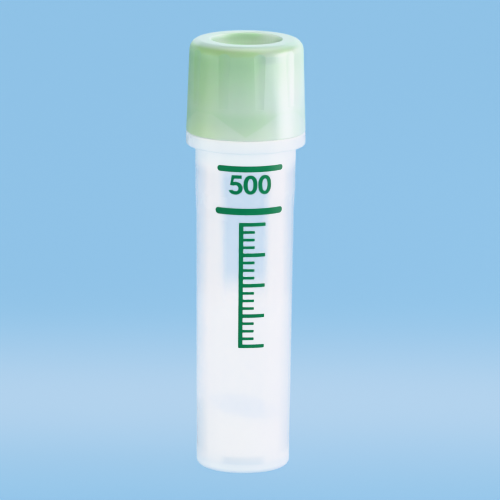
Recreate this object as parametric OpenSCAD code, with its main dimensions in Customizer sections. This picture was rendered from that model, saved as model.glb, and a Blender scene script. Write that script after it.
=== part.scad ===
// Capped micro sample tube.
// A one-piece translucent tube with a collar, a neck and a flat base, a
// one-piece cap whose plug seats in the neck, and a plug of separating gel
// at the bottom of the tube.
// Millimetres, +Z up along the tube, origin at the centre of the base.

/* [Tube] */
// Radius of the straight guide length under the collar
body_r = 5.4; // [5.3:0.05:5.5]
// Outer radius just below the guide length
taper_top_r = 5.27; // [5.2:0.01:5.29]
// Outer radius that the tapered wall would reach at the base
base_r = 5.03; // [4.95:0.01:5.1]
// Radius of the rounded edge around the base
base_edge = 0.6; // [0.6:0.1:1.1]
// Height of the lower end of the guide length
guide_z = 30.6; // [30:0.1:31.5]
// Length over which the wall blends into the guide length
guide_blend = 2.6; // [2:0.1:3]
// Radius of the straight upper bore that seals on the plug
bore_r = 4.35; // [4.3:0.01:4.4]
// Bore radius where the wall meets the rounded floor
floor_r = 4.1; // [4.05:0.01:4.15]
// Thickness of the floor
floor_t = 1.25; // [1.1:0.05:1.5]

/* [Collar and neck] */
// Height of the underside of the collar
collar_z = 35.55; // [35:0.05:36]
// Height of the collar itself
collar_h = 1.40; // [1.1:0.02:1.5]
// Outer radius of the collar
collar_r = 6.42; // [6.3:0.02:6.5]
// Outer radius of the plain neck above the collar
neck_r = 5.0; // [4.95:0.01:5.02]
// Length of the neck above the collar
neck_h = 7.95; // [7.85:0.01:8.02]

/* [Lifting ramps] */
// Number of V ramps around the neck and of cams in the cap
ramps = 4; // [3:1:4]
// Outer radius of the crown that carries the ramps
crown_r = 5.65; // [5.6:0.01:5.68]
// Height of the crown above the collar
crown_h = 3.2; // [3:0.1:3.4]
// Height of the lowest point of each V above the collar
ramp_tip = 0.55; // [0.5:0.05:0.8]
// Half width of each V at the top of the crown
ramp_w = 3.15; // [2.9:0.05:3.2]

/* [Cap] */
// Height of the cap
cap_h = 10.0; // [9.9:0.05:10.1]
// Outer radius at the lower edge
cap_r = 6.41; // [6.38:0.01:6.45]
// Outer radius at the shoulder
cap_top_r = 6.12; // [6.05:0.01:6.3]
// Radius of the rounded shoulder
shoulder = 1.2; // [0.8:0.05:1.3]
// Radius of the rounded lip around the well
lip = 0.15; // [0.1:0.05:0.3]
// Radius of the central well
well_r = 3.86; // [3.8:0.01:3.92]
// Radius of the well at its floor
well_floor_r = 3.5; // [3.3:0.05:3.6]
// Depth of the well below the top face
well_depth = 7.8; // [7:0.1:8]
// Thickness of the plug's end
plug_t = 0.8; // [0.6:0.1:1]

/* [Grip flutes] */
// Number of flutes around the cap
flutes = 10; // [8:1:12]
// Radius of the tool that cuts a flute
flute_r = 4; // [3:0.5:5]
// Depth of a flute at the shoulder
flute_d = 0.08; // [0.06:0.01:0.1]
// Depth of a flute at its lower end
flute_end = 0.04; // [0.02:0.01:0.05]
// Angle that turns the flutes from the middle of the printed side, in degrees
flute_turn = -4.5; // [-18:0.5:18]
// Length of a flute, below the shoulder
flute_h = 5.3; // [4.8:0.1:5.6]

/* [Gel] */
// Height of the gel surface on the tube's axis
gel_z = 6.5; // [5:0.1:9]
// Slope of the gel surface, high on the -X side
gel_tilt = 10; // [0:1:20]

/* [Hidden] */
$fn = 128;

neck_z = collar_z + collar_h;      // upper face of the collar
rim_z = neck_z + neck_h;           // rim of the neck
crown_z = neck_z + crown_h;        // top of the crown
tip_z = neck_z + ramp_tip;         // lowest point of each V
cap_gap = 0.03;                    // cap to collar, closed
cap_z = neck_z + cap_gap;          // lower edge of the cap
top_z = cap_z + cap_h;             // top face of the cap
side_gap = 0.10;                   // neck and crown to the cap's skirt
seal_gap = 0.05;                   // plug to bore, on the radius
plug_r = bore_r - seal_gap;
groove_top = rim_z + 0.3;          // roof of the groove that takes the rim
skirt_in = crown_r + side_gap;     // inside of the thin lower skirt
thick_in = neck_r + side_gap;      // inside of the thick upper skirt
well_z = top_z - well_depth;       // floor of the well
plug_z = well_z - plug_t;          // end of the plug
bore_z = neck_z - 0.5;             // lower end of the straight bore
ramp_slope = (crown_h - ramp_tip) / ramp_w;
gel_gap = 0.02;

// Points on an arc in the radius-height plane
function arc(cx, cz, r, a0, a1, n) =
    [for (i = [0 : n]) let (a = a0 + (a1 - a0) * i / n) [cx + r * cos(a), cz + r * sin(a)]];

// Outer radius of the tapered wall at a height
function wall_r(z) = base_r + (taper_top_r - base_r) * z / (guide_z - guide_blend);
// Bore radius at a height
function bore_at(z) = floor_r + (bore_r - floor_r) * (z - floor_t) / (bore_z - floor_t);

// Revolved section of the tube, without the crown
module tube_section() {
    fr = 0.9;
    rr = 0.2;
    polygon(concat(
        [[0, 0]],
        arc(wall_r(base_edge) - base_edge, base_edge, base_edge, -90, 0, 9),
        [[taper_top_r, guide_z - guide_blend], [body_r, guide_z], [body_r, collar_z]],
        arc(collar_r - rr, collar_z + rr, rr, -90, 0, 4),
        arc(collar_r - rr, neck_z - rr, rr, 0, 90, 4),
        [[neck_r, neck_z]],
        arc(neck_r - rr, rim_z - rr, rr, 0, 90, 4),
        arc(bore_r + rr, rim_z - rr, rr, 90, 180, 4),
        [[bore_r, bore_z]],
        arc(bore_at(floor_t + fr) - fr, floor_t + fr, fr, 0, -90, 9),
        [[0, floor_t]]
    ));
}

// Wedge above one V, looking along the radius on the -Y side
module ramp_wedge(lift, reach) {
    h = crown_h - ramp_tip + reach;
    translate([0, 0, tip_z + lift])
        rotate([90, 0, 0])
            linear_extrude(height = 8)
                polygon([[0, 0], [h / ramp_slope, h], [-h / ramp_slope, h]]);
}

// Crown around the foot of the neck, cut by the V ramps
module crown() {
    difference() {
        translate([0, 0, neck_z - 0.2])
            difference() {
                cylinder(r = crown_r, h = crown_h + 0.2);
                translate([0, 0, -1]) cylinder(r = neck_r - 0.2, h = crown_h + 3);
            }
        for (i = [0 : ramps - 1]) rotate([0, 0, 360 / ramps * i]) ramp_wedge(0, 0.2);
    }
}

module tube() {
    color([0.93, 0.95, 0.96, 0.85]) union() {
        rotate_extrude() tube_section();
        crown();
    }
}

// Revolved section of the cap down to the ramps' cams
module cap_section() {
    er = 0.12;
    polygon(concat(
        [[0, plug_z]],
        [[plug_r - 0.35, plug_z], [plug_r, plug_z + 0.6], [plug_r, groove_top]],
        [[thick_in, groove_top], [thick_in, crown_z + side_gap], [skirt_in, crown_z + side_gap]],
        [[skirt_in, cap_z]],
        arc(cap_r - er, cap_z + er, er, -90, 0, 3),
        arc(cap_top_r - shoulder, top_z - shoulder, shoulder, 0, 90, 12),
        arc(well_r + lip, top_z - lip, lip, 90, 180, 6),
        [[well_r, top_z - 3.2]],
        arc(well_floor_r - 0.5, well_z + 0.5, 0.5, 0, -90, 5),
        [[0, well_z]]
    ));
}

// Cams that stand in the V ramps when the cap is closed
module cams() {
    lift = 0.12;
    intersection() {
        translate([0, 0, cap_z])
            difference() {
                cylinder(r = skirt_in + 0.2, h = crown_z + side_gap + 0.1 - cap_z);
                translate([0, 0, -1]) cylinder(r = thick_in, h = 8);
            }
        union()
            for (i = [0 : ramps - 1]) rotate([0, 0, 360 / ramps * i]) ramp_wedge(lift, 0.4);
    }
}

// Shallow upright grooves that run out on the shoulder and get shallower downwards
module grip() {
    tilt = atan((cap_r - cap_top_r) / (cap_h - shoulder)) + atan((flute_d - flute_end) / flute_h);
    for (i = [0 : flutes - 1])
        rotate([0, 0, 360 / flutes * (i + 0.5) + flute_turn])
            translate([0, -(cap_top_r + flute_r - flute_d), top_z - shoulder])
                rotate([-tilt, 0, 0])
                    translate([0, 0, -flute_h]) cylinder(r = flute_r, h = flute_h + 1, $fn = 96);
}

module cap() {
    color([0.62, 0.80, 0.63, 0.95]) difference() {
        union() {
            rotate_extrude() cap_section();
            cams();
        }
        grip();
    }
}

// Gel: fills the rounded bottom of the bore up to its sloping surface
module gel() {
    fr = 0.9 - gel_gap;
    z0 = floor_t + gel_gap;
    top = gel_z + 4;
    color([0.86, 0.87, 0.85, 0.9]) difference() {
        rotate_extrude() polygon(concat(
            [[0, z0]],
            arc(bore_at(floor_t + 0.9) - 0.9, floor_t + 0.9, fr, -90, 0, 9),
            [[bore_at(top) - gel_gap, top], [0, top]]
        ));
        translate([0, 0, gel_z]) rotate([0, gel_tilt, 0])
            translate([-10, -10, 0]) cube([20, 20, 12]);
    }
}

tube();
cap();
gel();
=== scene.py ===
import math
import bpy
import bmesh
from mathutils import Vector, Matrix


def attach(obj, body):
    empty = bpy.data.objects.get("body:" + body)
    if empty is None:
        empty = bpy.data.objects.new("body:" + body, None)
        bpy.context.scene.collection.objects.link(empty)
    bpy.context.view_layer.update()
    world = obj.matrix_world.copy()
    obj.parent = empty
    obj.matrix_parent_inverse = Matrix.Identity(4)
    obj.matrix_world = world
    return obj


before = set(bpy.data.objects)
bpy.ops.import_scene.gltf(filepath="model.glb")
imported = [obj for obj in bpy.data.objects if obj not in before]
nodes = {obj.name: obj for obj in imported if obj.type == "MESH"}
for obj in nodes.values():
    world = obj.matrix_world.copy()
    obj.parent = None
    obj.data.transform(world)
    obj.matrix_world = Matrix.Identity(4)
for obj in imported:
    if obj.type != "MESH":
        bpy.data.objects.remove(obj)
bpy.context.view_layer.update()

MM = 0.001

# ---------------------------------------------------------------- camera
CAM_D, CAM_H = 0.500, 0.1358
PITCH, YAW, ROLL = math.radians(12.629), math.radians(0.0665), math.radians(0.55)
F_PX = 4739.0

cam_data = bpy.data.cameras.new("camera")
cam = bpy.data.objects.new("camera", cam_data)
bpy.context.scene.collection.objects.link(cam)
fw = Vector((math.sin(YAW) * math.cos(PITCH), math.cos(YAW) * math.cos(PITCH), -math.sin(PITCH)))
rt = Vector((math.cos(YAW), -math.sin(YAW), 0.0))
up = rt.cross(fw)
rt2 = rt * math.cos(ROLL) + up * math.sin(ROLL)
up2 = up * math.cos(ROLL) - rt * math.sin(ROLL)
m = Matrix((
    (rt2.x, up2.x, -fw.x, 0.0),
    (rt2.y, up2.y, -fw.y, -CAM_D),
    (rt2.z, up2.z, -fw.z, CAM_H),
    (0.0, 0.0, 0.0, 1.0)))
cam.matrix_world = m
cam_data.sensor_fit = "HORIZONTAL"
cam_data.sensor_width = 36.0
cam_data.lens = F_PX * 36.0 / 500.0
cam_data.clip_start, cam_data.clip_end = 0.01, 20.0
bpy.context.scene.camera = cam

# ---------------------------------------------------------------- stage and lights
def link(o):
    bpy.context.scene.collection.objects.link(o)
    return o

def plain_material(name, color, rough=0.8):
    mat = bpy.data.materials.new(name)
    mat.use_nodes = True
    b = mat.node_tree.nodes["Principled BSDF"]
    b.inputs["Base Color"].default_value = (*color, 1)
    b.inputs["Roughness"].default_value = rough
    return mat

GLOW, POOL_LIGHT_GLOW = (0.258, 0.508, 0.752), (0.45, 0.65, 0.85)
# place and size of the painted pool of light on the floor
POOL_Y, POOL_RY, POOL_RX = 0.0275, 0.030, 0.16

def sweep():
    # a floor that curves up into a backdrop far behind
    me = bpy.data.meshes.new("floor")
    bm = bmesh.new()
    prof = [(-1.5, 0.0), (0.9, 0.0)]
    for i in range(1, 13):
        a = math.pi / 2 * i / 12
        prof.append((0.9 + 0.5 * math.sin(a), 0.5 - 0.5 * math.cos(a)))
    prof.append((1.4, 1.6))
    rows = []
    for y, z in prof:
        rows.append([bm.verts.new((x, y, z)) for x in (-2.2, 2.2)])
    for a, b in zip(rows, rows[1:]):
        bm.faces.new((a[0], a[1], b[1], b[0]))
    for f in bm.faces:
        f.smooth = True
    bm.to_mesh(me)
    bm.free()
    o = link(bpy.data.objects.new("floor", me))
    # a pale acrylic sheet lit from below: it glows softly, and throws less of its blue on the part than it shows
    mat = plain_material("floor_pale", (0.03, 0.045, 0.06), 0.9)
    p = mat.node_tree.nodes["Principled BSDF"]
    p.inputs["Specular IOR Level"].default_value = 0.2
    p.inputs["Emission Strength"].default_value = 1.0
    nt = mat.node_tree
    # a painted pool of light on the floor: a long, soft, brighter glow just behind the part
    tc = nt.nodes.new("ShaderNodeTexCoord")
    sp = nt.nodes.new("ShaderNodeSeparateXYZ")
    nt.links.new(tc.outputs["Object"], sp.inputs[0])
    def mth(op, a, b=None):
        nd = nt.nodes.new("ShaderNodeMath")
        nd.operation = op
        for sock, v in zip(nd.inputs, (a, b)):
            if v is None:
                continue
            if isinstance(v, bpy.types.NodeSocket):
                nt.links.new(v, sock)
            else:
                sock.default_value = v
        return nd.outputs[0]
    u = mth("DIVIDE", mth("SUBTRACT", sp.outputs[1], POOL_Y), POOL_RY)
    v = mth("DIVIDE", sp.outputs[0], POOL_RX)
    light_pool_mask = mth("POWER", math.e, mth("MULTIPLY", mth("ADD", mth("MULTIPLY", u, u), mth("MULTIPLY", v, v)), -1.0))
    mx = nt.nodes.new("ShaderNodeMix")
    mx.data_type = "RGBA"
    nt.links.new(light_pool_mask, mx.inputs[0])
    mx.inputs[6].default_value = (*GLOW, 1)
    mx.inputs[7].default_value = (*POOL_LIGHT_GLOW, 1)
    nt.links.new(mx.outputs[2], p.inputs["Emission Color"])
    lp = nt.nodes.new("ShaderNodeLightPath")
    mr = nt.nodes.new("ShaderNodeMapRange")
    mr.inputs["To Min"].default_value = 1.0
    mr.inputs["To Max"].default_value = 0.90
    nt.links.new(lp.outputs["Is Diffuse Ray"], mr.inputs["Value"])
    nt.links.new(mr.outputs["Result"], p.inputs["Emission Strength"])
    o.data.materials.append(mat)
    return o

sweep()

def area(name, loc, target, sx, sy, power, color=(1, 1, 1)):
    d = bpy.data.lights.new(name, "AREA")
    d.shape = "RECTANGLE"
    d.size, d.size_y = sx, sy
    d.energy = power
    d.color = color
    o = link(bpy.data.objects.new(name, d))
    o.location = loc
    o.rotation_mode = "QUATERNION"
    o.rotation_quaternion = (Vector(target) - Vector(loc)).to_track_quat("-Z", "Y")
    return o

CEN = (0, 0, 0.025)

def panel(name, az, el, dist, w, h, power, color=(1, 1, 1), aim=CEN):
    """Softbox seen from the part at azimuth az (0 = camera side, 90 = right) and elevation el, in degrees."""
    a, e = math.radians(az), math.radians(el)
    loc = (dist * math.sin(a) * math.cos(e), -dist * math.cos(a) * math.cos(e), aim[2] + dist * math.sin(e))
    o = area(name, loc, aim, w, h, power, color)
    o.visible_camera = False
    return o

def wall(name, az, dist, w, z0, z1, power, color=(1, 1, 1)):
    """Upright softbox at azimuth az (0 = camera side, 90 = right), from z0 to z1, facing the part."""
    a, zc = math.radians(az), (z0 + z1) / 2
    loc = (dist * math.sin(a), -dist * math.cos(a), zc)
    o = area(name, loc, (0, 0, zc), w, z1 - z0, power, color)
    o.visible_camera = False
    return o

# the two lamps that leave no glare stand for cross-polarised ones
WARM = (1.0, 0.955, 0.91)
ROSE = (0.98, 0.93, 1.0)
wall("right", 86, 0.20, 0.10, 0.001, 0.13, 0.43, ROSE)
wall("right_back", 132, 0.20, 0.15, 0.001, 0.13, 0.14, ROSE)
wall("left", -75, 0.24, 0.10, 0.001, 0.13, 0.03, WARM)
wall("left_low", -62, 0.075, 0.05, 0.001, 0.010, 0.020, WARM).visible_glossy = False
wall("left_back", -130, 0.24, 0.14, 0.001, 0.13, 0.03, WARM)
wall("back", 180, 0.50, 0.60, 0.075, 0.30, 0.78)
panel("top", 180, 82, 0.55, 0.50, 0.50, 0.4, WARM)
panel("front", 9, 29, 0.70, 0.50, 0.30, 5.7, WARM).visible_glossy = False

world = bpy.data.worlds.new("world")
bpy.context.scene.world = world
world.use_nodes = True
world.node_tree.nodes["Background"].inputs["Color"].default_value = (0.96, 0.98, 1.0, 1)
world.node_tree.nodes["Background"].inputs["Strength"].default_value = 0.32
bpy.context.scene.view_settings.view_transform = "Khronos PBR Neutral"

# ---------------------------------------------------------------- node helpers
class G:
    """Short-hand for building a node tree."""
    def __init__(self, mat):
        self.t = mat.node_tree
        self.n = self.t.nodes
        self.l = self.t.links

    def new(self, kind, **kw):
        nd = self.n.new(kind)
        for k, v in kw.items():
            setattr(nd, k, v)
        return nd

    def put(self, socket, value):
        if isinstance(value, bpy.types.NodeSocket):
            self.l.new(value, socket)
        else:
            socket.default_value = value

    def math(self, op, a, b=None, clamp=False):
        nd = self.new("ShaderNodeMath", operation=op, use_clamp=clamp)
        self.put(nd.inputs[0], a)
        if b is not None:
            self.put(nd.inputs[1], b)
        return nd.outputs[0]

    def ramp(self, v, a, b, lo=0.0, hi=1.0, smooth=True):
        nd = self.new("ShaderNodeMapRange", interpolation_type="SMOOTHSTEP" if smooth else "LINEAR")
        self.put(nd.inputs["Value"], v)
        self.put(nd.inputs["From Min"], a)
        self.put(nd.inputs["From Max"], b)
        self.put(nd.inputs["To Min"], lo)
        self.put(nd.inputs["To Max"], hi)
        return nd.outputs["Result"]

    def mixc(self, f, a, b):
        nd = self.new("ShaderNodeMix", data_type="RGBA")
        self.put(nd.inputs[0], f)
        self.put(nd.inputs[6], a)
        self.put(nd.inputs[7], b)
        return nd.outputs[2]

    def noise(self, vec, scale, detail=3.0, rough=0.5):
        nd = self.new("ShaderNodeTexNoise")
        self.put(nd.inputs["Vector"], vec)
        self.put(nd.inputs["Scale"], scale)
        self.put(nd.inputs["Detail"], detail)
        self.put(nd.inputs["Roughness"], rough)
        return nd.outputs["Fac"]

def through_for_lamps(g, solid, share):
    """The milky wall scatters lamp light into the tube, so lamps see it this much less solid."""
    lp = g.new("ShaderNodeLightPath")
    k = g.math("SUBTRACT", 1.0, g.math("MULTIPLY", lp.outputs["Is Shadow Ray"], 1.0 - share))
    return g.math("MULTIPLY", solid, k)

def new_mat(name):
    """An empty node material of that name; one that came in with the frame is emptied and used again."""
    mat = bpy.data.materials.get(name) or bpy.data.materials.new(name)
    mat.use_nodes = True
    g = G(mat)
    g.n.clear()
    out = g.new("ShaderNodeOutputMaterial")
    b = g.new("ShaderNodeBsdfPrincipled")
    g.l.new(b.outputs[0], out.inputs["Surface"])
    tc = g.new("ShaderNodeTexCoord")
    sep = g.new("ShaderNodeSeparateXYZ")
    g.l.new(tc.outputs["Object"], sep.inputs[0])
    x, y, z = sep.outputs
    return mat, g, b, tc.outputs["Object"], x, y, z

# ---------------------------------------------------------------- materials
def around(g, x, y):
    """Angle about the axis in degrees: 0 on the printed side, positive towards +X."""
    return g.math("MULTIPLY", g.math("ARCTAN2", x, g.math("MULTIPLY", y, -1.0)), 180.0 / math.pi)

def band(g, v, a0, a1, b0, b1):
    """1 between a1 and b0, and 0 outside a0 and b1."""
    return g.math("MULTIPLY", g.ramp(v, a0, a1), g.ramp(v, b0, b1, 1.0, 0.0))

def lerp(g, f, a, b):
    d = g.math("SUBTRACT", b, a)
    return g.math("ADD", g.math("MULTIPLY", f, d), a)

def tube_material():
    mat, g, b, obj, x, y, z = new_mat("tube_pp")
    r = g.math("SQRT", g.math("ADD", g.math("MULTIPLY", x, x), g.math("MULTIPLY", y, y)))
    lw = g.new("ShaderNodeLayerWeight")
    lw.inputs["Blend"].default_value = 0.5
    facing = lw.outputs["Facing"]
    inner = g.ramp(r, 0.00440, 0.00465, 1.0, 0.0)            # bore and inner floor
    # clear window of the wall: between the milky lower length and the collar
    window = band(g, z, 0.0175, 0.0205, 0.0325, 0.0345)
    cloud = g.noise(obj, 320.0, 3.0, 0.55)
    col = g.mixc(cloud, (0.855, 0.83, 0.825, 1), (0.945, 0.91, 0.89, 1))
    # painted light: a warmer colour from 32.5 mm up, standing in for warm lamp light under the collar
    warm_lit_top = g.mixc(cloud, (0.975, 0.905, 0.87, 1), (1.0, 0.945, 0.91, 1))
    # painted light: paler and bluer at the foot, standing in for light from the floor on the base edge
    floor_lit_foot = g.mixc(cloud, (0.93, 0.94, 0.97, 1), (0.97, 0.98, 1.0, 1))
    col = g.mixc(g.ramp(z, 0.0006, 0.0016, 1.0, 0.0), col, floor_lit_foot)
    # painted shade: in the clear window the wall is darkened where it turns away from the view
    side = g.ramp(facing, 0.085, 0.20)
    side_shade_mix = g.new("ShaderNodeMix", data_type="RGBA", blend_type="MULTIPLY")
    g.put(side_shade_mix.inputs[0], g.math("MULTIPLY", side, window))
    g.put(side_shade_mix.inputs[6], g.mixc(g.ramp(z, 0.0325, 0.0350), col, warm_lit_top))
    g.put(side_shade_mix.inputs[7], (0.88, 0.88, 0.88, 1))
    g.put(b.inputs["Base Color"], side_shade_mix.outputs[2])
    b.inputs["IOR"].default_value = 1.49
    g.put(b.inputs["Roughness"], g.ramp(cloud, 0.3, 0.7, 0.20, 0.28, False))
    b.inputs["Subsurface Weight"].default_value = 1.0
    b.inputs["Subsurface Radius"].default_value = (1.0, 1.0, 1.0)
    b.inputs["Subsurface Scale"].default_value = 0.0012
    # how solid the wall looks
    limb = g.math("ADD", g.ramp(facing, 0.30, 0.44, 0.0, 0.30), g.ramp(facing, 0.45, 0.90, 0.0, 0.45, False))
    limb = g.math("MULTIPLY", limb, g.math("MULTIPLY", g.ramp(z, 0.0009, 0.0026), g.ramp(z, 0.0080, 0.0160, 0.82, 1.0)))
    limb = g.math("MULTIPLY", limb, g.ramp(z, 0.0325, 0.0345, 1.0, 0.40))
    a_out_win = g.ramp(side, 0.0, 1.0, 0.18, 0.74, False)
    slab = g.math("MULTIPLY", band(g, z, 0.0009, 0.0012, 0.0017, 0.0022), g.math("SUBTRACT", 1.0, side))
    a_out_low = g.math("SUBTRACT", g.ramp(side, 0.0, 1.0, 0.76, 0.86, False), g.math("MULTIPLY", slab, 0.20))
    a_out_low = g.math("ADD", a_out_low, g.ramp(z, 0.0005, 0.0011, 0.20, 0.0))
    a_out_low = g.math("ADD", a_out_low, g.math("MULTIPLY", band(g, z, 0.0325, 0.0340, 0.0350, 0.0357), 0.12))
    a_out = lerp(g, window, a_out_low, a_out_win)
    a_out = g.math("MULTIPLY", a_out, g.math("SUBTRACT", 1.0, limb))
    a_in = g.ramp(facing, 0.15, 0.9, 0.08, 0.8)
    solid = lerp(g, inner, a_out, a_in)
    g.put(b.inputs["Alpha"], through_for_lamps(g, solid, 0.30))
    fine = g.noise(obj, 2500.0, 2.0, 0.5)
    bump = g.new("ShaderNodeBump")
    bump.inputs["Strength"].default_value = 0.05
    bump.inputs["Distance"].default_value = 0.00004
    g.put(bump.inputs["Height"], fine)
    g.put(b.inputs["Normal"], bump.outputs[0])
    return mat

def cap_material():
    mat, g, b, obj, x, y, z = new_mat("cap_pe")
    cloud = g.noise(obj, 260.0, 3.0, 0.55)
    deep = g.mixc(cloud, (0.288, 0.440, 0.218, 1), (0.323, 0.480, 0.248, 1))
    lit_pale = g.mixc(cloud, (0.410, 0.505, 0.360, 1), (0.450, 0.545, 0.400, 1))
    # painted shade and highlight: deeper and yellower on the unlit -X side, cooler and paler on the lit +X side
    shaded_side, lit_side = g.ramp(x, -0.0060, -0.0012, 1.0, 0.0), g.ramp(x, 0.0008, 0.0050)
    def tone(c, f, k):
        nd = g.new("ShaderNodeMix", data_type="RGBA", blend_type="MULTIPLY")
        g.put(nd.inputs[0], f)
        g.put(nd.inputs[6], c)
        g.put(nd.inputs[7], (*k, 1))
        return nd.outputs[2]
    # the skirt thins downwards; painted light: paler low down and below the cams' arms, where the white crown shows
    # through, and painted shade darker inside the V between the arms
    phi = around(g, x, y)
    u = g.math("ABSOLUTE", g.math("SUBTRACT", g.math("FLOORED_MODULO", g.math("ADD", phi, 45.0), 90.0), 45.0))
    edge = g.ramp(u, 0.0, 34.0, 0.0375, 0.0398, False)
    below = g.ramp(g.math("SUBTRACT", z, edge), -0.00025, 0.0003, 1.0, 0.0)
    paler_low = g.ramp(z, 0.0400, 0.0450, 1.0, 0.0, False)
    shade = g.math("SUBTRACT", paler_low, g.math("MULTIPLY", g.ramp(z, 0.0392, 0.0404, 1.0, 0.0), 0.48))
    f = g.math("MAXIMUM", shade, g.math("MULTIPLY", below, 1.0))
    rr = g.math("SQRT", g.math("ADD", g.math("MULTIPLY", x, x), g.math("MULTIPLY", y, y)))
    well = g.math("MULTIPLY", g.ramp(rr, 0.00384, 0.00392, 1.0, 0.0), g.ramp(z, 0.0393, 0.0397))
    # painted light and shade in the well: deeper in the middle, lighter towards its sides, most on the +X side, and
    # lighter low down
    well_light_shade = g.mixc(g.ramp(g.math("ABSOLUTE", x), 0.0012, 0.0034), (0.38, 0.56, 0.39, 1), (0.47, 0.60, 0.52, 1))
    well_light_shade = g.mixc(g.ramp(x, 0.0004, 0.0034, 0.0, 0.7), well_light_shade, (0.72, 0.80, 0.77, 1))
    well_light_shade = g.mixc(g.ramp(z, 0.0458, 0.0464, 0.35, 0.0), well_light_shade, (0.72, 0.86, 0.74, 1))
    # painted sheen: the top face is paler where light from above and behind glances off it
    lit_top_face = g.mixc(cloud, (0.40, 0.53, 0.42, 1), (0.44, 0.57, 0.46, 1))
    top = g.ramp(z, 0.04645, 0.04688)
    # painted highlight: a pale band just right of the middle, above the cams, where the right lamp's glare begins
    skin = g.mixc(g.math("MULTIPLY", g.math("MULTIPLY", g.ramp(x, 0.0004, 0.0024), g.ramp(x, 0.0024, 0.0042, 0.30, 0.0)), g.ramp(z, 0.0396, 0.0412)), g.mixc(f, deep, lit_pale), (0.50, 0.55, 0.52, 1))
    skin = tone(skin, shaded_side, (0.89, 0.98, 0.62))
    skin = tone(skin, lit_side, (0.95, 0.90, 0.99))
    # painted shade: darker low on the lit side
    skin = tone(skin, g.math("MULTIPLY", lit_side, g.ramp(z, 0.0385, 0.0420, 1.0, 0.0)), (0.81, 0.855, 0.83))
    # painted light: brighter towards the skirt's lower edge
    skin = tone(skin, g.ramp(z, 0.0374, 0.0392, 1.0, 0.0), (1.14, 1.08, 1.10))
    # painted shade: deeper and yellower high on the unlit side
    skin = tone(skin, g.math("MULTIPLY", shaded_side, g.ramp(z, 0.0395, 0.0415)), (0.92, 0.97, 0.82))
    # a flute catches less light towards the cool side's limb
    skin = tone(skin, g.math("MULTIPLY", band(g, x, 0.0043, 0.0049, 0.0055, 0.0060), g.ramp(z, 0.0400, 0.0412)), (0.88, 0.85, 0.87))
    # painted reflection: bluer at the +X limb, where the blue surroundings show in the gloss
    skin = tone(skin, g.ramp(x, 0.0056, 0.0062), (0.82, 0.92, 1.0))
    # painted shade: darker right of the middle, low on the skirt
    skin = tone(skin, g.math("MULTIPLY", g.ramp(x, 0.0022, 0.0036), g.ramp(z, 0.0402, 0.0430, 1.0, 0.0)), (0.88, 0.91, 0.88))
    # painted shadow under the lip, right of the middle
    skin = tone(skin, g.math("MULTIPLY", band(g, x, 0.0008, 0.0022, 0.0034, 0.0042), band(g, z, 0.0450, 0.0455, 0.0462, 0.0466)), (0.85, 0.85, 0.89))
    # painted highlight: whiter lip edge on the -X side
    skin = tone(skin, g.math("MULTIPLY", g.ramp(x, -0.0045, -0.0028, 1.0, 0.0), g.ramp(z, 0.0452, 0.0460)), (1.14, 1.10, 1.35))
    # painted shade: a slightly darker, cooler band on the shoulder just below the top face
    skin = g.mixc(band(g, z, 0.0456, 0.0463, 0.0465, 0.0468), skin, tone(skin, 1.0, (0.95, 0.96, 1.0)))
    skin = g.mixc(top, skin, lit_top_face)
    g.put(b.inputs["Base Color"], g.mixc(well, skin, well_light_shade))
    b.inputs["IOR"].default_value = 2.0
    b.inputs["Specular IOR Level"].default_value = 1.0
    g.put(b.inputs["Roughness"], g.ramp(cloud, 0.3, 0.7, 0.37, 0.43, False))
    b.inputs["Subsurface Weight"].default_value = 1.0
    b.inputs["Subsurface Radius"].default_value = (0.8, 1.0, 0.8)
    b.inputs["Subsurface Scale"].default_value = 0.0016
    fine = g.noise(obj, 2200.0, 2.0, 0.5)
    bump = g.new("ShaderNodeBump")
    bump.inputs["Strength"].default_value = 0.05
    bump.inputs["Distance"].default_value = 0.00004
    g.put(bump.inputs["Height"], fine)
    g.put(b.inputs["Normal"], bump.outputs[0])
    return mat

def gel_material():
    mat, g, b, obj, x, y, z = new_mat("gel")
    cloud = g.noise(obj, 500.0, 3.0, 0.6)
    col = g.mixc(cloud, (0.66, 0.69, 0.72, 1), (0.80, 0.82, 0.84, 1))
    # clearer, bluer layer under the sloping surface
    depth = g.math("SUBTRACT", g.math("SUBTRACT", 0.0065, g.math("MULTIPLY", x, 0.1763)), z)
    clear = g.mixc(cloud, (0.24, 0.42, 0.66, 1), (0.32, 0.50, 0.74, 1))
    g.put(b.inputs["Base Color"], g.mixc(g.ramp(depth, 0.0001, 0.0003, 1.0, 0.0), col, clear))
    b.inputs["IOR"].default_value = 1.42
    g.put(b.inputs["Roughness"], g.ramp(cloud, 0.3, 0.7, 0.10, 0.20, False))
    b.inputs["Subsurface Weight"].default_value = 1.0
    b.inputs["Subsurface Radius"].default_value = (1.0, 1.0, 1.0)
    b.inputs["Subsurface Scale"].default_value = 0.002
    return mat

def set_material(o, mat):
    o.data.materials.clear()
    o.data.materials.append(mat)

set_material(nodes["tube"], tube_material())
set_material(nodes["cap"], cap_material())
set_material(nodes["gel"], gel_material())

# ---------------------------------------------------------------- print
# Outer radius of the tube at a height, in mm
def tube_r(z):
    if z >= 30.6:
        return 5.4
    if z >= 28.0:
        return 5.27 + (5.4 - 5.27) * (z - 28.0) / 2.6
    return 5.03 + (5.27 - 5.03) * z / 28.0

def ink_material():
    mat, g, b, obj, x, y, z = new_mat("ink_green")
    n1 = g.noise(obj, 900.0, 3.0, 0.6)
    col = g.mixc(n1, (0.009, 0.108, 0.040, 1), (0.018, 0.152, 0.062, 1))
    g.put(b.inputs["Base Color"], col)
    g.put(b.inputs["Roughness"], g.ramp(n1, 0.3, 0.7, 0.40, 0.55, False))
    b.inputs["Specular IOR Level"].default_value = 0.3
    return mat

INK = ink_material()
PRINT_AZ = 6.0      # degrees, towards +X from the front

def wrap(s, z, lift):
    """Point on the tube's skin: s is the arc length from the print's centre line, in mm."""
    a = math.radians(PRINT_AZ) + s / 5.3
    r = tube_r(z) + lift
    return Vector((r * math.sin(a) * MM, -r * math.cos(a) * MM, z * MM))

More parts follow.
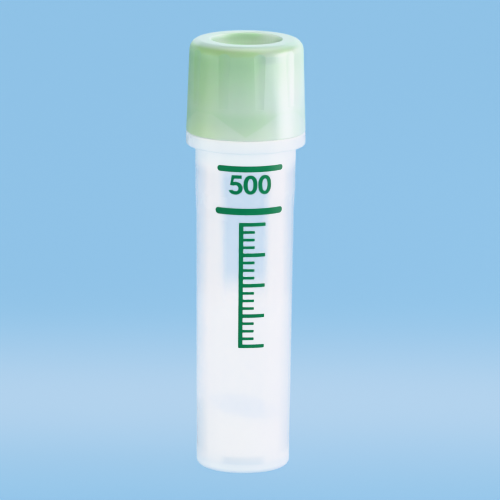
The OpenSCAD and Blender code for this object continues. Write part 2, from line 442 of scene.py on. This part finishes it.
def outline_piece(name, loops, step=0.2):
    """A thin closed shell from flat outlines in (s, z) mm: first loop outside, the others holes."""
    cu = bpy.data.curves.new(name, "CURVE")
    cu.dimensions = "2D"
    cu.fill_mode = "BOTH"
    for loop in loops:
        sp = cu.splines.new("POLY")
        sp.points.add(len(loop) - 1)
        for p, q in zip(sp.points, loop):
            p.co = (q[0], q[1], 0, 1)
        sp.use_cyclic_u = True
    cu.extrude = 0.5
    tmp = link(bpy.data.objects.new(name + "_tmp", cu))
    dg = bpy.context.evaluated_depsgraph_get()
    me = bpy.data.meshes.new_from_object(tmp.evaluated_get(dg))
    bpy.data.objects.remove(tmp)
    bpy.data.curves.remove(cu)
    bm = bmesh.new()
    bm.from_mesh(me)
    bmesh.ops.remove_doubles(bm, verts=bm.verts, dist=1e-5)
    xs = [v.co.x for v in bm.verts]
    k = math.floor(min(xs) / step) + 1
    while k * step < max(xs) - 1e-6:
        bmesh.ops.bisect_plane(bm, geom=bm.verts[:] + bm.edges[:] + bm.faces[:], dist=1e-6,
                               plane_co=(k * step, 0, 0), plane_no=(1, 0, 0))
        k += 1
    bmesh.ops.remove_doubles(bm, verts=bm.verts, dist=1e-5)
    for v in bm.verts:
        top = v.co.z > 0
        v.co = wrap(v.co.x, v.co.y, 0.012 if top else -0.02)
    bmesh.ops.recalc_face_normals(bm, faces=bm.faces)
    bm.to_mesh(me)
    bm.free()
    o = link(bpy.data.objects.new(name, me))
    me.materials.clear()
    me.materials.append(INK)
    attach(o, "tube_body")
    return o

def bar(x0, x1, z0, z1, rad=None, n=6):
    """Bar with rounded ends, as an outline."""
    rad = (z1 - z0) / 2 if rad is None else rad
    pts = []
    for cx, cz, a0 in ((x1 - rad, z1 - rad, 0), (x0 + rad, z1 - rad, 90), (x0 + rad, z0 + rad, 180), (x1 - rad, z0 + rad, 270)):
        for i in range(n + 1):
            a = math.radians(a0 + 90 * i / n)
            pts.append((cx + rad * math.cos(a), cz + rad * math.sin(a)))
    return pts

def ellipse_arc(cx, cz, rx, rz, a0, a1, n, p=2.0):
    pts = []
    for i in range(n + 1):
        a = math.radians(a0 + (a1 - a0) * i / n)
        c, s = math.cos(a), math.sin(a)
        pts.append((cx + rx * math.copysign(abs(c) ** (2 / p), c), cz + rz * math.copysign(abs(s) ** (2 / p), s)))
    return pts

def digit_0(x, z, w, h, t):
    cx, cz = x + w / 2, z + h / 2
    return [ellipse_arc(cx, cz, w / 2, h / 2, 0, 352.5, 47, 2.25),
            ellipse_arc(cx, cz, w / 2 - t, h / 2 - t * 0.86, 0, 352.5, 47, 2.2)]

def digit_5(x, z, w, h, t):
    # bowl: outer and inner ellipses
    cx, cz = x + w * 0.47, z + h * 0.325
    rx, rz = w * 0.53, h * 0.335
    tz = t * 0.86
    outer = ellipse_arc(cx, cz, rx, rz, -160, 115, 40, 2.15)
    inner = ellipse_arc(cx, cz, rx - t, rz - tz, 128, -150, 36, 2.1)
    pts = []
    pts += outer                                            # lower left terminal round to the top of the bowl
    pts += [(x + w * 0.335, z + h * 0.66), (x + w * 0.375, z + h - tz * 0.98), (x + w * 0.93, z + h - tz * 0.98), (x + w * 0.93, z + h),
            (x + w * 0.20, z + h), (x + w * 0.085, z + h * 0.475), (x + w * 0.30, z + h * 0.455)]
    pts += inner
    return [pts]

def number_500(zc, h):
    w, t, gap = 1.48, 0.45, 0.08
    x0 = -(3 * w + 2 * gap) / 2
    outline_piece("number_5", digit_5(x0, zc - h / 2, w, h, t))
    outline_piece("number_0_a", digit_0(x0 + w + gap, zc - h / 2, w, h, t))
    outline_piece("number_0_b", digit_0(x0 + 2 * (w + gap), zc - h / 2, w, h, t))

outline_piece("fill_line_upper", [bar(-3.68, 3.85, 33.77 - 0.33, 33.77 + 0.33)])
outline_piece("fill_line_lower", [bar(-3.92, 3.9, 29.11 - 0.37, 29.11 + 0.37)])
number_500(32.06, 2.10)

# plain ruler scale below the lower line
SCALE_S = -0.95
scale_z = [27.70 - 0.8375 * i for i in range(17)]
outline_piece("scale_spine", [bar(SCALE_S - 0.25, SCALE_S + 0.25, scale_z[-1] - 0.21, scale_z[0] + 0.21, 0.1)])
for i, zz in enumerate(scale_z):
    long = 2.7 if i % 4 == 0 else 1.5
    hw = 0.21 if i % 4 == 0 else 0.16
    outline_piece("scale_tick_%02d" % i, [bar(SCALE_S + 0.15, SCALE_S + long, zz - hw, zz + hw, 0.07)])
